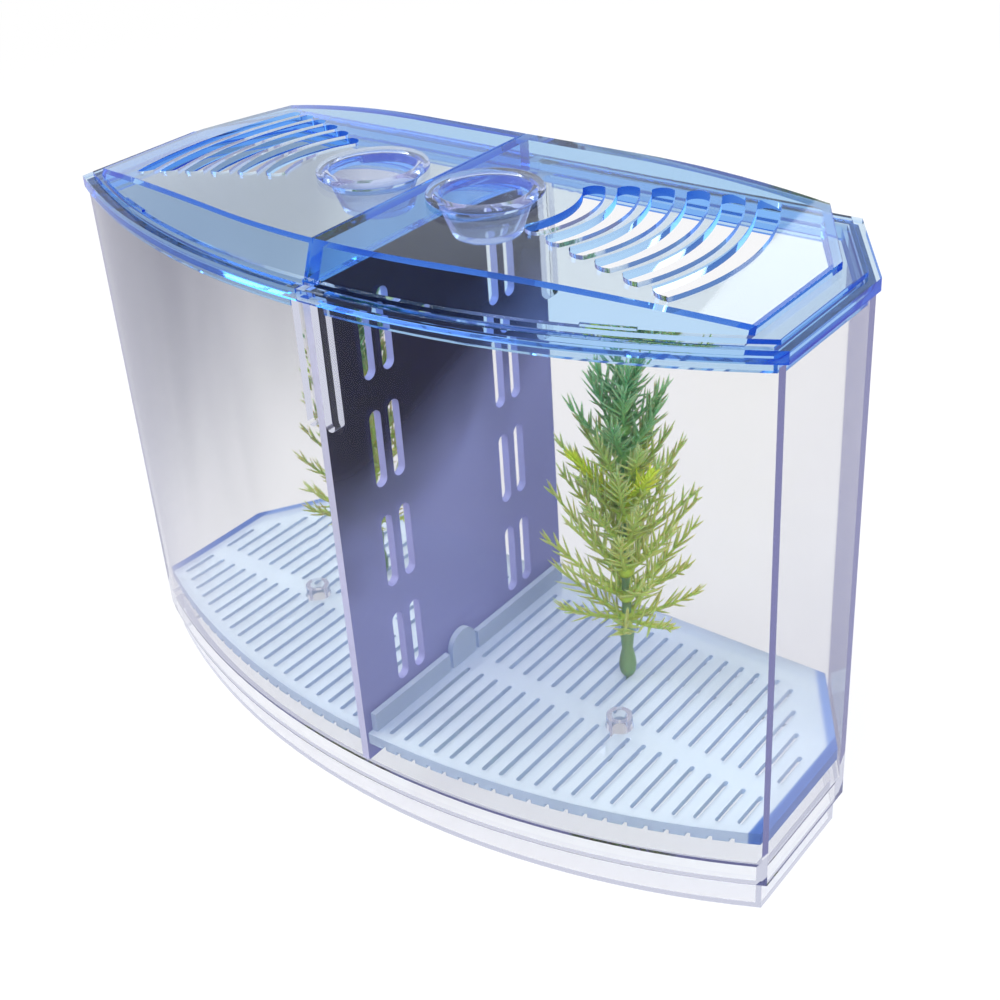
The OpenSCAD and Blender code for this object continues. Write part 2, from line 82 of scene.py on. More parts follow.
class NodeTree:
    """Thin layer over a shader node tree, which adds nodes and feeds their sockets."""

    def __init__(self, tree: bpy.types.NodeTree) -> None:
        """Wraps a tree.

        Args:
            tree: the node tree to build in.
        """
        self.tree = tree

    def feed(self, socket: Socket, value: object) -> None:
        """Gives an input socket its value.

        Args:
            socket: the input.
            value: a socket to link, a number, or a tuple, which gets an alpha of 1 where it
                is short of one.
        """
        if isinstance(value, Socket):
            self.tree.links.new(value, socket)
        elif isinstance(value, tuple):
            socket.default_value = (*value, 1.0)[: len(socket.default_value)]
        else:
            socket.default_value = value

    def add(
        self, kind: str, values: Mapping[str | int, object] | None = None, **settings: object
    ) -> bpy.types.Node:
        """Adds a node.

        Args:
            kind: the node's type name, without its ShaderNode start.
            values: what feeds its inputs, by name or number.
            settings: properties of the node itself.

        Returns:
            The new node.
        """
        node = self.tree.nodes.new("ShaderNode" + kind)
        for name, value in settings.items():
            setattr(node, name, value)
        for name, value in (values or {}).items():
            self.feed(node.inputs[name], value)
        return node

    def math(self, operation: str, first: object, second: object = None) -> Socket:
        """Adds a Math node.

        Args:
            operation: the operation's name.
            first: the first operand, a socket or a number.
            second: the second operand, where there is one.

        Returns:
            The node's output socket.
        """
        values = {0: first} if second is None else {0: first, 1: second}
        return self.add("Math", values, operation=operation).outputs[0]

    def above(self, value: Socket, limit: float = 0.5) -> Socket:
        """Gives 1 where a value is above its limit; the usual limit suits yes-or-no sockets."""
        return self.math("GREATER_THAN", value, limit)

    def below(self, value: Socket, limit: float = 0.5) -> Socket:
        """Gives 1 where a value is below its limit; the usual limit suits yes-or-no sockets."""
        return self.math("LESS_THAN", value, limit)

    def place(self) -> Socket:
        """Adds the place in the object's own coordinates."""
        return self.add("TexCoord").outputs["Object"]

    def axes(self, place: Socket) -> Sockets:
        """Splits a place into its X, Y and Z."""
        return self.add("SeparateXYZ", {0: place}).outputs

    def folded(self) -> tuple[Socket, Socket]:
        """Adds the place on the object with X taken as its size, as on the right-hand side.

        Returns:
            The folded place and its separate height.
        """
        axes = self.axes(self.place())
        values = {"X": self.math("ABSOLUTE", axes["X"]), "Y": axes["Y"], "Z": axes["Z"]}
        return self.add("CombineXYZ", values).outputs[0], axes["Z"]

    def along(self, place: Socket, way: object) -> Socket:
        """Adds a vector's part along a way, as their dot product."""
        return self.add("VectorMath", {0: place, 1: way}, operation="DOT_PRODUCT").outputs["Value"]

    def noise(self, place: Socket, values: Mapping[str, object]) -> Socket:
        """Adds a noise with its values at a place."""
        return self.add("TexNoise", {**values, "Vector": place}).outputs["Fac"]

    def ramp(self, value: Socket, low: object, high: object, least: float = 0.0) -> Socket:
        """Adds a smooth ramp that ends at 1.

        Args:
            value: what drives it.
            low: the driving value where it starts.
            high: the driving value where it ends.
            least: what it gives at its start.

        Returns:
            The ramp's socket.
        """
        values = {"Value": value, "From Min": low, "From Max": high, "To Min": least}
        return self.add("MapRange", values, interpolation_type="SMOOTHSTEP").outputs["Result"]

    def mix(self, share: Socket, first: object, second: object) -> Socket:
        """Adds a colour Mix node.

        Args:
            share: socket that gives the second colour's share.
            first: colour or socket at a share of 0.
            second: colour or socket at a share of 1.

        Returns:
            The mixed colour's socket.
        """
        node = self.add("Mix", {"Factor": share}, data_type="RGBA")
        for name, value in (("A", first), ("B", second)):
            self.feed(next(s for s in node.inputs if s.name == name and s.type == "RGBA"), value)
        return next(s for s in node.outputs if s.type == "RGBA")

    def blend(self, share: Socket, first: Socket, second: Socket) -> Socket:
        """Adds a mix of two shaders."""
        return self.add("MixShader", {0: share, 1: first, 2: second}).outputs[0]


def blank(owner: bpy.types.Material | bpy.types.World) -> NodeTree:
    """Switches on the nodes of a material or world, and clears them.

    Args:
        owner: the material or world.

    Returns:
        Its empty tree.
    """
    owner.use_nodes = True
    owner.node_tree.nodes.clear()
    return NodeTree(owner.node_tree)


def socket_kind(value: float | tuple) -> str:
    """Names the kind of socket that holds a value: a number, a vector or a colour.

    Args:
        value: the value.

    Returns:
        The kind's name.
    """
    if not isinstance(value, tuple):
        return "NodeSocketFloat"
    return "NodeSocketColor" if len(value) == len(WHITE) else "NodeSocketVector"


class ShaderGroup:
    """A shader node group built once and shared; its sockets are named with a first value."""

    name = "Group"
    inputs: Mapping[str, float | tuple] = {}
    outputs: Mapping[str, float | tuple] = {"Colour": WHITE}

    @classmethod
    def tree(cls) -> bpy.types.NodeTree:
        """Finds the group, or builds it on its first use.

        Returns:
            The group's node tree.
        """
        found = bpy.data.node_groups.get(cls.name)
        if found:
            return found
        made = bpy.data.node_groups.new(cls.name, "ShaderNodeTree")
        for way, sockets in (("INPUT", cls.inputs), ("OUTPUT", cls.outputs)):
            for name, value in sockets.items():
                kind = socket_kind(value)
                socket = made.interface.new_socket(name, in_out=way, socket_type=kind)
                socket.default_value = value
        nodes = NodeTree(made)
        given = made.nodes.new("NodeGroupInput").outputs
        out = made.nodes.new("NodeGroupOutput").inputs
        for name, socket in cls.fill(nodes, given).items():
            nodes.feed(out[name], socket)
        return made

    @classmethod
    def fill(cls, nodes: NodeTree, given: Sockets) -> Sockets:
        """Builds the inside of the group; each group has its own."""
        raise NotImplementedError

    @classmethod
    def place(cls, nodes: NodeTree, values: Mapping[str, object]) -> Sockets:
        """Puts the group into a material with its input values, and gives its outputs."""
        return nodes.add("Group", values, node_tree=cls.tree()).outputs


class MouldedSurface(ShaderGroup):
    """Skin of a moulded plastic: faint colour mottle, smudges in the gloss, and slow ripples."""

    name = "Moulded Surface"
    inputs = {
        "Colour": WHITE, "Mottle": 0.04, "Roughness": 0.05, "Smudge": 0.05,
        "Ripple Scale": 30.0, "Ripple Height": 0.02 * MM,
    }
    outputs = {"Colour": WHITE, "Roughness": NUMBER, "Normal": UPWARD}
    cloud = {"Scale": 55.0, "Detail": 3.0}
    smear = {"Scale": 140.0, "Detail": 4.0, "Distortion": 0.6}
    wave = {"Detail": 1.0}

    @classmethod
    def fill(cls, nodes: NodeTree, given: Sockets) -> Sockets:
        """Noise at three sizes drives the colour, the roughness and the bump.

        Args:
            nodes: the group's tree.
            given: the group's inputs.

        Returns:
            The group's outputs.
        """
        place = nodes.place()
        cloud = nodes.noise(place, cls.cloud)
        smear = nodes.noise(place, cls.smear)
        ripple = nodes.noise(place, {**cls.wave, "Scale": given["Ripple Scale"]})
        keep = nodes.math("SUBTRACT", 1.0, nodes.math("MULTIPLY", cloud, given["Mottle"]))
        dim = nodes.add("VectorMath", {0: given["Colour"], "Scale": keep}, operation="SCALE")
        spread = nodes.math("MULTIPLY", smear, given["Smudge"])
        bump = {"Strength": 1.0, "Distance": given["Ripple Height"], "Height": ripple}
        return {
            "Colour": dim.outputs[0],
            "Roughness": nodes.math("ADD", spread, given["Roughness"]),
            "Normal": nodes.add("Bump", bump).outputs["Normal"],
        }


class EdgeTint(ShaderGroup):
    """Colour of a plate by the way its surface faces: its broad faces, and its cut edges."""

    name = "Edge Tint"
    inputs = {"Face Colour": WHITE, "Edge Colour": WHITE, "Face Axis": UPWARD}
    span = (0.75, 0.35)

    @classmethod
    def fill(cls, nodes: NodeTree, given: Sockets) -> Sockets:
        """The size of the normal's part along the axis parts faces from edges.

        Args:
            nodes: the group's tree.
            given: the group's inputs.

        Returns:
            The group's outputs.
        """
        facing = nodes.along(nodes.add("TexCoord").outputs["Normal"], given["Face Axis"])
        share = nodes.ramp(nodes.math("ABSOLUTE", facing), *cls.span)
        return {"Colour": nodes.mix(share, given["Face Colour"], given["Edge Colour"])}


class SmokeFade(ShaderGroup):
    """Painted shade and reflection: a tint that fades to a painted dark colour along a slant."""

    name = "Smoke Fade"
    inputs = {
        "Thin Colour": WHITE, "Thick Colour": BLACK, "Lean": UPWARD,
        "Streaks": (20.0, 20.0, 20.0), "Stir": 0.05, "Low": 0.0, "High": 1.0,
    }
    cloud = {"Scale": 1.0, "Detail": 2.0, "Distortion": 0.8}
    middle = 0.5

    @classmethod
    def fill(cls, nodes: NodeTree, given: Sockets) -> Sockets:
        """The place along the leaning direction, stirred by slow noise, sets the share of painted
        shade.

        Args:
            nodes: the group's tree.
            given: the group's inputs.

        Returns:
            The group's outputs.
        """
        place = nodes.place()
        stretch = nodes.add("VectorMath", {0: place, 1: given["Streaks"]}, operation="MULTIPLY")
        swing = nodes.math("SUBTRACT", nodes.noise(stretch.outputs[0], cls.cloud), cls.middle)
        drift = nodes.math("MULTIPLY", swing, given["Stir"])
        height = nodes.math("ADD", nodes.along(place, given["Lean"]), drift)
        share = nodes.ramp(height, given["Low"], given["High"])
        return {"Colour": nodes.mix(share, given["Thin Colour"], given["Thick Colour"])}


class EndTint(ShaderGroup):
    """Deeper colour towards one edge of a plate, and towards the same edge on the other side."""

    name = "End Tint"
    inputs = {
        "Colour": WHITE, "End Colour": BLACK, "Way": (1.0, 0.0, 0.0),
        "Start": 89.0 * MM, "End": 90.0 * MM,
    }

    @classmethod
    def fill(cls, nodes: NodeTree, given: Sockets) -> Sockets:
        """The place's part along the way, with X taken as its size, ramps from start to end.

        Args:
            nodes: the group's tree.
            given: the group's inputs.

        Returns:
            The group's outputs.
        """
        reach = nodes.along(nodes.folded()[0], given["Way"])
        share = nodes.ramp(reach, given["Start"], given["End"])
        return {"Colour": nodes.mix(share, given["Colour"], given["End Colour"])}


class LeafTint(ShaderGroup):
    """Colour of a moulded leaf by its height on the plant and its nearness to a needle's tip."""

    name = "Leaf Tint"
    inputs = {
        "Low Colour": WHITE, "High Colour": WHITE, "Tip Colour": WHITE, "Low": 0.0, "High": 0.1,
    }
    cloud = {"Scale": 120.0, "Detail": 2.0}
    middle = 0.5
    stir = 40.0 * MM

    @classmethod
    def fill(cls, nodes: NodeTree, given: Sockets) -> Sockets:
        """A height ramp, broken up by noise, then a wash towards the tips.

        Args:
            nodes: the group's tree.
            given: the group's inputs.

        Returns:
            The group's outputs.
        """
        place = nodes.place()
        swing = nodes.math("SUBTRACT", nodes.noise(place, cls.cloud), cls.middle)
        height = nodes.math("ADD", nodes.axes(place)["Z"], nodes.math("MULTIPLY", swing, cls.stir))
        share = nodes.ramp(height, given["Low"], given["High"])
        body = nodes.mix(share, given["Low Colour"], given["High Colour"])
        tip = nodes.add("Attribute", attribute_name="tip").outputs["Fac"]
        return {"Colour": nodes.mix(tip, body, given["Tip Colour"])}


@dataclass(frozen=True)
class Finish:
    """What every finish has: a name and a way to build its material."""

    name: str

    def material(self) -> bpy.types.Material:
        """Finds the finish's material, or builds it on its first use.

        Returns:
            The material.
        """
        found = bpy.data.materials.get(self.name)
        if found:
            return found
        made = bpy.data.materials.new(self.name)
        nodes = blank(made)
        nodes.add("OutputMaterial", self.dress(nodes))
        return made

    def dress(self, nodes: NodeTree) -> Sockets:
        """Builds what feeds the material's output; each finish has its own."""
        raise NotImplementedError

    def named(self, *fields: str) -> dict[str, object]:
        """Gives fields under the names of their sockets, such as Low Colour for low_colour."""
        return {field.replace("_", " ").title(): getattr(self, field) for field in fields}

    def moulded(
        self, nodes: NodeTree, skin: Mapping[str, object], body: Mapping[str, object]
    ) -> Socket:
        """Adds a Principled shader with a moulded skin.

        Args:
            nodes: the material's tree.
            skin: values of the skin.
            body: values of the shader.

        Returns:
            The shader's socket.
        """
        made = MouldedSurface.place(nodes, skin)
        links = {"Base Color": made["Colour"], "Roughness": made["Roughness"]}
        values = {**links, "Normal": made["Normal"], **body}
        return nodes.add("BsdfPrincipled", values).outputs[0]


@dataclass(frozen=True)
class ClearPlastic(Finish):
    """Polished see-through plastic, coloured by the depth that light crosses."""

    face: Colour = (1.0, 1.0, 1.0)
    edge: Colour = (1.0, 1.0, 1.0)
    axis: Colour | None = (0.0, 0.0, 1.0)
    # Painted shade: a darker colour mixed in on faces seen at a slant.
    graze: Colour | None = None
    graze_blend: float = 0.5
    graze_power: float = 5.0
    absorb: Colour = (1.0, 1.0, 1.0)
    density: float = 0.0
    shade: Colour = (0.95, 0.95, 0.97)
    mottle: float = 0.03
    roughness: float = 0.02
    smudge: float = 0.03
    ripple_height: float = 0.004 * MM
    clear: float = 1.0
    ior: float = 1.25
    shine: float = 0.5
    glow: Colour = (0.6, 0.6, 0.8)
    bounces: float = 0.5
    onward: Colour = (0.98, 0.98, 0.99)

    def face_tint(self, nodes: NodeTree) -> Colour | Socket:
        """Gives the colour of the broad faces, or the socket that makes it."""
        return self.face

    def edge_tint(self, nodes: NodeTree) -> Colour | Socket:
        """Gives the colour of the cut edges, or the socket that makes it."""
        return self.edge

    def tint(self, nodes: NodeTree) -> Colour | Socket:
        """Adds what sets the colour: broad faces, cut edges, and a painted shade on faces seen at a
        slant.

        Args:
            nodes: the material's tree.

        Returns:
            The colour, or the socket that makes it.
        """
        colour = self.face_tint(nodes)
        if self.axis:
            edge = self.edge_tint(nodes)
            values = {"Face Colour": colour, "Edge Colour": edge, "Face Axis": self.axis}
            colour = EdgeTint.place(nodes, values)["Colour"]
        if self.graze:
            slant = nodes.add("LayerWeight", {"Blend": self.graze_blend}).outputs["Facing"]
            share = nodes.math("POWER", slant, self.graze_power)
            colour = nodes.mix(share, colour, self.graze)
        return colour

    def caught(self, nodes: NodeTree) -> Colour | Socket:
        """Gives the colour of light that has bounced about inside, or the socket that makes it."""
        return self.glow

    def veiled(self, nodes: NodeTree, passing: Socket, light: Sockets) -> Socket:
        """Gives the shader of the light that passes through: plain on most pieces, with a painted
        glow on the tank.

        Args:
            nodes: the material's tree.
            passing: the plain shader's socket.
            light: the outputs of the material's Light Path node.

        Returns:
            The socket of the shader to use.
        """
        return passing

    def dress(self, nodes: NodeTree) -> Sockets:
        """Glass-like body with absorption.

        Light from the lamps passes it, dimmed by the shade colour. Light that has bounced about
        inside leaves it in the glow colour, which else would leave the edges black.

        Args:
            nodes: the material's tree.

        Returns:
            What feeds the material's output.
        """
        skin = self.named("mottle", "roughness", "smudge", "ripple_height")
        skin["Colour"] = self.tint(nodes)
        glass = {"IOR": self.ior, "Transmission Weight": self.clear}
        glass["Specular IOR Level"] = self.shine
        body = self.moulded(nodes, skin, glass)
        light = nodes.add("LightPath").outputs
        trapped = nodes.above(light["Glossy Depth"], self.bounces)
        again = nodes.above(light["Transparent Depth"])
        leaving = nodes.mix(again, self.caught(nodes), self.onward)
        lamp = {"Color": nodes.mix(light["Is Shadow Ray"], leaving, self.shade)}
        passing = nodes.add("BsdfTransparent", lamp).outputs[0]
        share = nodes.math("MAXIMUM", light["Is Shadow Ray"], trapped)
        ends = {"Surface": nodes.blend(share, body, self.veiled(nodes, passing, light))}
        if self.density:
            depth = {"Color": self.absorb, "Density": self.density}
            ends["Volume"] = nodes.add("VolumeAbsorption", depth).outputs[0]
        return ends


@dataclass(frozen=True)
class SmokePlastic(ClearPlastic):
    """Plate with painted shade and reflection, which darken its colour along a slanting direction.
    """

    # thick is the colour of the painted shade and reflection, and lean the way along which it
    # deepens.
    thick: Colour = (0.0, 0.0, 0.0)
    lean: Colour = (0.0, 0.0, 1.0)
    streaks: Colour = (22.0, 22.0, 22.0)
    stir: float = 0.05
    low: float = 0.0
    high: float = 0.1

    def face_tint(self, nodes: NodeTree) -> Colour | Socket:
        """Adds the painted shade and reflection that fade across the broad faces.

        Args:
            nodes: the material's tree.

        Returns:
            The colour's socket.
        """
        values = self.named("lean", "streaks", "stir", "low", "high")
        values.update({"Thin Colour": self.face, "Thick Colour": self.thick})
        return SmokeFade.place(nodes, values)["Colour"]


@dataclass(frozen=True)
class DividerPlastic(SmokePlastic):
    """The divider's plastic, whose slot walls carry a painted shade, deeper than its pale front
    edge.
    """

    # Painted shade: the slot walls are darkened to stand in for the shade in the slots.
    slot_edge: Colour = (0.4, 0.4, 0.7)
    front_y: float = -34.0 * MM

    def edge_tint(self, nodes: NodeTree) -> Colour | Socket:
        """Adds the pale front edge and the painted shade on the other edges, the slot walls."""
        front = nodes.below(nodes.axes(nodes.place())["Y"], self.front_y)
        return nodes.mix(front, self.slot_edge, self.edge)


@dataclass(frozen=True)
class LidPlastic(ClearPlastic):
    """The lids' plastic, whose raised panel has paler cut edges than its rim."""

    panel_glow: Colour = (0.2, 0.4, 0.7)
    panel_z: float = 137.2 * MM

    def caught(self, nodes: NodeTree) -> Colour | Socket:
        """Adds the rim's deep glow and the panel's paler one."""
        high = nodes.above(nodes.axes(nodes.place())["Z"], self.panel_z)
        return nodes.mix(high, self.glow, self.panel_glow)


@dataclass(frozen=True)
class TankPlastic(SmokePlastic):
    """The tank's plastic, with a painted grey shade and reflection on its walls; its foot ring,
    posts and ribs look paler than its walls, the foot ring and ribs through a painted glow.
    """

    core: Colour = (1.0, 1.0, 1.0)
    post: Colour = (48.0 * MM, -3.7 * MM, 16.0 * MM)
    post_r: float = 9.0 * MM
    floor_h: float = 12.0 * MM
    rib_x: float = 5.0 * MM
    rib_z: float = 102.0 * MM
    rim: Colour = (0.3, 0.5, 0.9)
    rim_h: float = 129.0 * MM
    foot_h: float = 8.5 * MM
    # Painted glow: below this height and on the ribs, caught light is replaced by an emission of
    # the pale colour below.
    veil_h: float = 11.3 * MM
    foot_face: Colour = (0.86, 0.86, 0.89)
    veil: Colour = (0.66, 0.68, 0.80)

    def face_tint(self, nodes: NodeTree) -> Colour | Socket:
        """Adds the walls' painted grey shade and reflection, and the foot ring's own faint tint."""
        low = nodes.below(nodes.axes(nodes.place())["Z"], self.foot_h)
        return nodes.mix(low, super().face_tint(nodes), self.foot_face)

    def caught(self, nodes: NodeTree) -> Colour | Socket:
        """Adds the walls' glow, the paler one of the foot and posts, and the blue rim's.

        Args:
            nodes: the material's tree.

        Returns:
            The colour's socket.
        """
        place, height = nodes.folded()
        away = nodes.add("VectorMath", {0: place, 1: self.post}, operation="DISTANCE")
        near = nodes.below(away.outputs["Value"], self.post_r)
        pale = nodes.math("MAXIMUM", near, nodes.below(height, self.floor_h))
        walls = nodes.mix(pale, self.glow, self.core)
        return nodes.mix(nodes.above(height, self.rim_h), walls, self.rim)

    def veiled(self, nodes: NodeTree, passing: Socket, light: Sockets) -> Socket:
        """Paints a glow on the foot ring and the ribs: an emission of one pale colour stands in for
        light caught there.

        Args:
            nodes: the material's tree.
            passing: the plain shader's socket.
            light: the outputs of the material's Light Path node.

        Returns:
            The socket of the shader with its painted glow.
        """
        place, height = nodes.folded()
        middle = nodes.below(nodes.axes(place)["X"], self.rib_x)
        ribs = nodes.math("MULTIPLY", middle, nodes.above(height, self.rib_z))
        where = nodes.math("MAXIMUM", nodes.below(height, self.veil_h), ribs)
        share = nodes.math("MULTIPLY", where, nodes.below(light["Is Shadow Ray"]))
        veil = nodes.add("Emission", {"Color": self.veil, "Strength": 1.0})
        return nodes.blend(share, passing, veil.outputs[0])


@dataclass(frozen=True)
class GridPlastic(ClearPlastic):
    """Milky ice-blue plastic that looks deeper blue along the outer ends of the grids."""

    end: Colour = (0.1, 0.2, 0.5)
    end_way: Colour = (1.0, 0.0, 0.0)
    end_x: tuple[float, float] = (88.9 * MM, 89.5 * MM)
    back: Colour = (0.36, 0.50, 0.78)
    back_way: Colour = (0.842, 0.539, 0.0)
    back_out: tuple[float, float] = (82.8 * MM, 84.3 * MM)

    def tint(self, nodes: NodeTree) -> Colour | Socket:
        """Adds the deeper colours of the chamfered back corner and of the end.

        Args:
            nodes: the material's tree.

        Returns:
            The colour's socket.
        """
        colour = super().tint(nodes)
        edges = (
            (self.back, self.back_way, self.back_out), (self.end, self.end_way, self.end_x)
        )
        for shade, way, (start, end) in edges:
            values = {"Colour": colour, "End Colour": shade, "Way": way, "Start": start, "End": end}
            colour = EndTint.place(nodes, values)["Colour"]
        return colour


@dataclass(frozen=True)
class LeafPlastic(Finish):
    """Soft moulded leaf plastic with a satin skin, which light glows through a little."""

    low_colour: Colour = (0.3, 0.4, 0.1)
    high_colour: Colour = (0.1, 0.3, 0.1)
    tip_colour: Colour = (0.3, 0.4, 0.2)
    low: float = 0.03
    high: float = 0.1
    roughness: float = 0.42
    mottle: float = 0.25
    smudge: float = 0.15
    ripple_scale: float = 900.0
    ripple_height: float = 0.05 * MM
    soft: float = 0.35
    soft_depth: float = 1.5 * MM
    ior: float = 1.48

    def dress(self, nodes: NodeTree) -> Sockets:
        """Leaf colours under a satin moulded skin.

        Args:
            nodes: the material's tree.

        Returns:
            What feeds the material's output.
        """
        tint = self.named("low_colour", "high_colour", "tip_colour", "low", "high")
        skin = self.named("mottle", "roughness", "smudge", "ripple_scale", "ripple_height")
        skin["Colour"] = LeafTint.place(nodes, tint)["Colour"]
        flesh = {"Subsurface Weight": self.soft, "Subsurface Scale": self.soft_depth}
        flesh["IOR"] = self.ior
        return {"Surface": self.moulded(nodes, skin, flesh)}


# The tank's thick colour and lean paint a grey shade and reflection of the divider on its left
# walls.
TANK_CLEAR = TankPlastic(
    "clear tank plastic", face=(0.91, 0.91, 0.915), thick=(0.49, 0.495, 0.54), axis=None,
    graze=(0.92, 0.92, 0.94), lean=(-1.0, 0.0, 0.7), low=0.092, high=0.168,
    streaks=(34.0, 34.0, 5.0), stir=0.06,
    absorb=(0.5, 0.5, 0.7), density=6.0, glow=(0.22, 0.22, 0.42), shade=(0.95, 0.95, 0.96),
    core=(0.84, 0.85, 0.90), rim=(0.28, 0.44, 0.86),
)
LID_BLUE = LidPlastic(
    "clear blue lid plastic", face=(0.95, 0.95, 0.90), edge=(0.64, 0.83, 0.99),
    absorb=(0.15, 0.54, 0.93), density=130.0, shade=(0.82, 0.88, 0.96),
    glow=(0.09, 0.28, 0.74), panel_glow=(0.24, 0.40, 0.72), bounces=1.5,
)
CUP_LAVENDER = ClearPlastic(
    "lavender cup plastic", face=(0.78, 0.83, 0.93), edge=(0.72, 0.79, 0.94),
    clear=0.95, absorb=(0.1, 0.32, 0.8), density=14.0,
    shade=(0.88, 0.90, 0.97), glow=(0.62, 0.68, 0.90), ior=1.16, bounces=1.5,
)
GRID_ICE = GridPlastic(
    "ice blue grid plastic", face=(0.72, 0.79, 0.83), edge=(0.52, 0.61, 0.74), clear=0.5,
    end=(0.10, 0.20, 0.52), back=(0.26, 0.40, 0.72),
    absorb=(0.2, 0.55, 0.82), density=50.0, shade=(0.80, 0.88, 0.96),
    roughness=0.12, smudge=0.1, glow=(0.44, 0.55, 0.73),
)
# The divider's thick colour and lean paint a near-black reflection and shade over its upper part,
# above its own smoke-blue face colour.
DIVIDER_SMOKE = DividerPlastic(
    "smoke divider plastic", face=(0.28, 0.30, 0.54), thick=(0.006, 0.006, 0.030),
    edge=(0.72, 0.72, 0.92), slot_edge=(0.42, 0.43, 0.70), axis=(1.0, 0.0, 0.0),
    lean=(0.0, -0.3, 1.0), low=0.062, high=0.110,
    shade=(0.35, 0.35, 0.6), clear=0.35, shine=0.12, glow=(0.40, 0.40, 0.70),
)
LEAF_LOW = LeafPlastic(
    "yellow green leaf plastic", low_colour=(0.50, 0.66, 0.10), high_colour=(0.46, 0.62, 0.08),
    tip_colour=(0.54, 0.64, 0.28), low=0.03, high=0.07,
)
LEAF_MIDDLE = LeafPlastic(
    "green leaf plastic", low_colour=(0.46, 0.62, 0.08), high_colour=(0.22, 0.48, 0.10),
    tip_colour=(0.42, 0.54, 0.26), low=0.07, high=0.105,
)
LEAF_HIGH = LeafPlastic(
    "deep green leaf plastic", low_colour=(0.26, 0.50, 0.11), high_colour=(0.06, 0.34, 0.10),
    tip_colour=(0.28, 0.50, 0.26), low=0.075, high=0.105,
)
SHOOT = LeafPlastic(
    "bright shoot plastic", low_colour=(0.46, 0.64, 0.01), high_colour=(0.56, 0.72, 0.02),
    tip_colour=(0.66, 0.80, 0.08), low=0.05, high=0.08,
)
STEM_GREEN = LeafPlastic(
    "stem plastic", low_colour=(0.20, 0.33, 0.16), high_colour=(0.08, 0.28, 0.10),
    tip_colour=(0.1, 0.2, 0.1), low=0.03, high=0.10,
)


def add_object(name: str, data: bpy.types.ID) -> bpy.types.Object:
    """Makes an object and links it to the scene.

    Args:
        name: the object's name.
        data: its mesh, lamp or camera.

    Returns:
        The new object.
    """
    made = bpy.data.objects.new(name, data)
    bpy.context.scene.collection.objects.link(made)
    return made


def surface_object(
    name: str, points: Points, quads: Points, tips: Points | None = None
) -> bpy.types.Object:
    """Makes a smooth object of a point array and a quad array.

    Args:
        name: the object's name.
        points: the points, as rows of X, Y and Z in metres.
        quads: rows of four point numbers; a row whose last two are equal is a triangle.
        tips: nearness of each point to a needle's tip, from 0 to 1.

    Returns:
        The new object, linked to the scene.
    """
    mesh = bpy.data.meshes.new(name)
    thin = quads[:, 2] == quads[:, 3]
    faces = quads[~thin].tolist() + quads[thin][:, :3].tolist()
    mesh.from_pydata(points.reshape(-1, 3).tolist(), [], faces)
    if tips is not None:
        layer = mesh.attributes.new("tip", "FLOAT", "POINT")
        layer.data.foreach_set("value", tips.astype(np.float32).ravel())
    mesh.shade_smooth()
    mesh.update()
    return add_object(name, mesh)


def ring_quads(rings: int, steps: int, closed_ends: bool = False) -> Points:
    """Quads between rings of points, each ring closed on itself.

    Args:
        rings: number of rings.
        steps: points in each ring.
        closed_ends: True where the last ring joins the first.

    Returns:
        Rows of four point numbers.
    """
    last = rings if closed_ends else rings - 1
    ring, step = np.meshgrid(np.arange(last), np.arange(steps), indexing="ij")
    after = (ring + 1) % rings
    beside = (step + 1) % steps
    corners = (
        ring * steps + step, ring * steps + beside, after * steps + beside, after * steps + step
    )
    return np.stack(corners, axis=-1).reshape(-1, 4)


def lathe(profile: Points, centre: Points, steps: int) -> Points:
    """Turns a profile about an upright axis: x = r cos a, y = r sin a, z = height.

    Args:
        profile: rows of radius and height.
        centre: the axis's foot.
        steps: points round the axis.

    Returns:
        The points, one ring for each profile row.
    """
    angle = np.linspace(0, 2 * np.pi, steps, endpoint=False)
    radius = profile[:, 0:1]
    x = radius * np.cos(angle)
    y = radius * np.sin(angle)
    z = np.repeat(profile[:, 1:2], steps, axis=1)
    return np.stack([x, y, z], axis=-1) + centre


def arc(centre: tuple[float, float], radius: float, start: float, end: float, count: int) -> Points:
    """Points on an arc, with its angles in degrees.

    Args:
        centre: the arc's centre.
        radius: its radius.
        start: first angle.
        end: last angle.
        count: number of points.

    Returns:
        Rows of two coordinates.
    """
    angle = np.radians(np.linspace(start, end, count))
    return np.column_stack(
        [centre[0] + radius * np.cos(angle), centre[1] + radius * np.sin(angle)]
    )


def circles(steps: int, first: Points, second: Points) -> Points:
    """Unit circles across given ways: cos a times the first, plus sin a times the second.

    Args:
        steps: points in each circle.
        first: unit vectors across the way.
        second: unit vectors across the way and the first.

    Returns:
        The circles' points, on a new axis before the last one.
    """
    angle = np.linspace(0, 2 * np.pi, steps, endpoint=False)[:, None]
    return np.cos(angle) * first[..., None, :] + np.sin(angle) * second[..., None, :]


def close_poles(piece: bpy.types.Object) -> None:
    """Merges the points that meet on an axis and turns every face outwards.

    Args:
        piece: the object to close.
    """
    shape = bmesh.new()
    shape.from_mesh(piece.data)
    bmesh.ops.remove_doubles(shape, verts=shape.verts, dist=WELD)
    bmesh.ops.recalc_face_normals(shape, faces=shape.faces)
    shape.to_mesh(piece.data)
    shape.free()


@dataclass
class MouldedPart:
    """A moulding that keeps its CAD shape and gets its finish."""

    node: str
    finish: Finish

    def build(self) -> None:
        """Gives every face of the moulding the finish's material."""
        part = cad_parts[self.node]
        part.data.materials.clear()
        part.data.materials.append(self.finish.material())
        part.data.polygons.foreach_set(
            "material_index", np.zeros(len(part.data.polygons), np.int32)
        )
        LOG.info("%s keeps its shape, with %s", self.node, self.finish.name)


